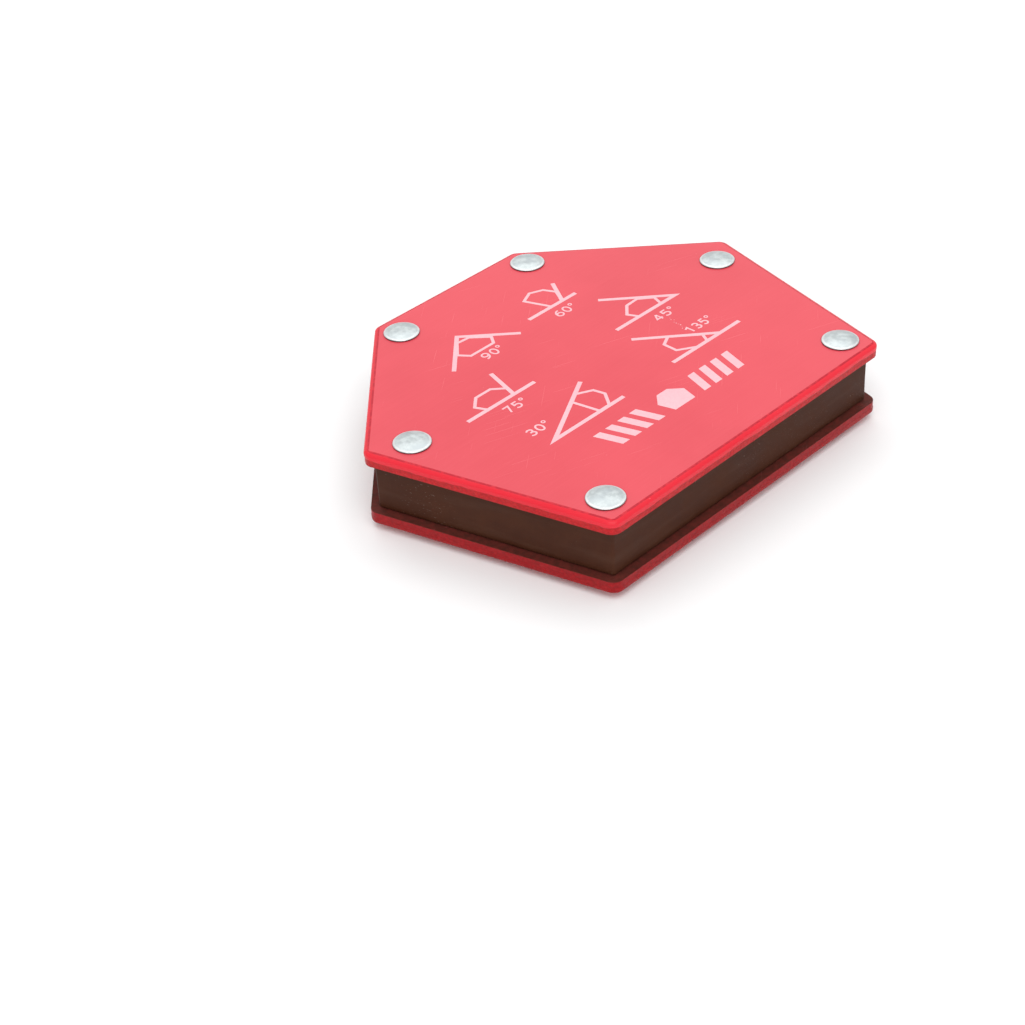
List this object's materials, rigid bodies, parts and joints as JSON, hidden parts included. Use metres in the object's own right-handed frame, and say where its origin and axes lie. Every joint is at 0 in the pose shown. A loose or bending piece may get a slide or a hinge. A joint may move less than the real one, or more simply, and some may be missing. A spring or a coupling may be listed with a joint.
{
  "type": "welding magnet holder",
  "caption": "Flat hexagonal magnetic welding holder: two red steel pole plates riveted over a black core, for holding steel at set angles.",
  "frame": {"origin": "centre of the footprint, on the plane that the six rivet tails rest on", "axes": "+X along the long base edge, -Y out of the base edge, +Z out of the labelled front plate; the holder lies flat on its rear side"},
  "size_m": [0.1154, 0.0916, 0.0207],
  "materials": {
    "red_enamel": "gloss enamel",
    "black_moulding": "matte moulded",
    "ferrite": "ground sintered ferrite",
    "zinc_plate": "bright zinc plated",
    "sleeve_steel": "drawn tube"
  },
  "bodies": {
    "root": {"front_plate": "red_enamel", "rear_plate": "red_enamel", "core_spacer": "black_moulding", "magnet_base_left": "ferrite", "magnet_base_right": "ferrite", "magnet_middle_left": "ferrite", "magnet_middle_right": "ferrite", "magnet_top": "ferrite", "rivet_base_left": "zinc_plate", "rivet_base_right": "zinc_plate", "rivet_side_left": "zinc_plate", "rivet_side_right": "zinc_plate", "rivet_top_left": "zinc_plate", "rivet_top_right": "zinc_plate", "sleeve_base_left": "sleeve_steel", "sleeve_base_right": "sleeve_steel", "sleeve_side_left": "sleeve_steel", "sleeve_side_right": "sleeve_steel", "sleeve_top_left": "sleeve_steel", "sleeve_top_right": "sleeve_steel"}
  },
  "joints": []
}
